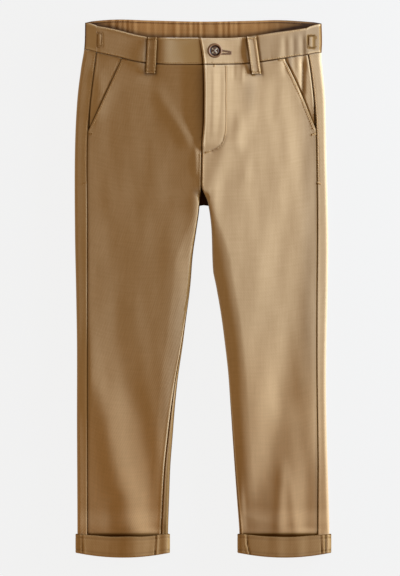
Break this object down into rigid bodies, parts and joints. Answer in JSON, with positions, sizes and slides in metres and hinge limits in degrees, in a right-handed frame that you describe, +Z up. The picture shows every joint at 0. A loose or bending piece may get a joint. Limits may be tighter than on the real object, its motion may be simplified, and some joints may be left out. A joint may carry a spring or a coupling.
{
  "type": "chino trousers",
  "caption": "Child's cotton chino trousers laid flat, with slant pockets, belt loops, a buttoned fly, an elasticated back waist and turned-up hems.",
  "frame": {"origin": "middle of the footprint, on the floor that the back panels lie on", "axes": "+Y towards the waist, +X towards the wearer's left leg, +Z up through the front panels"},
  "size_m": [0.3079, 0.6456, 0.0249],
  "materials": {
    "cotton_twill": "brushed matt twill",
    "waistband_twill": "matt twill",
    "button_resin": "satin"
  },
  "bodies": {
    "root": {"front_right": "cotton_twill", "front_left": "cotton_twill", "back_right": "cotton_twill", "back_left": "cotton_twill", "pocket_facing_right": "cotton_twill", "pocket_facing_left": "cotton_twill", "fly_facing": "cotton_twill", "belt_loop_right": "cotton_twill", "belt_loop_left": "cotton_twill", "cuff_right": "cotton_twill", "cuff_left": "cotton_twill", "waistband_front_right": "waistband_twill", "waistband_front_left": "waistband_twill", "waistband_back": "waistband_twill", "waist_button": "button_resin"}
  },
  "joints": []
}
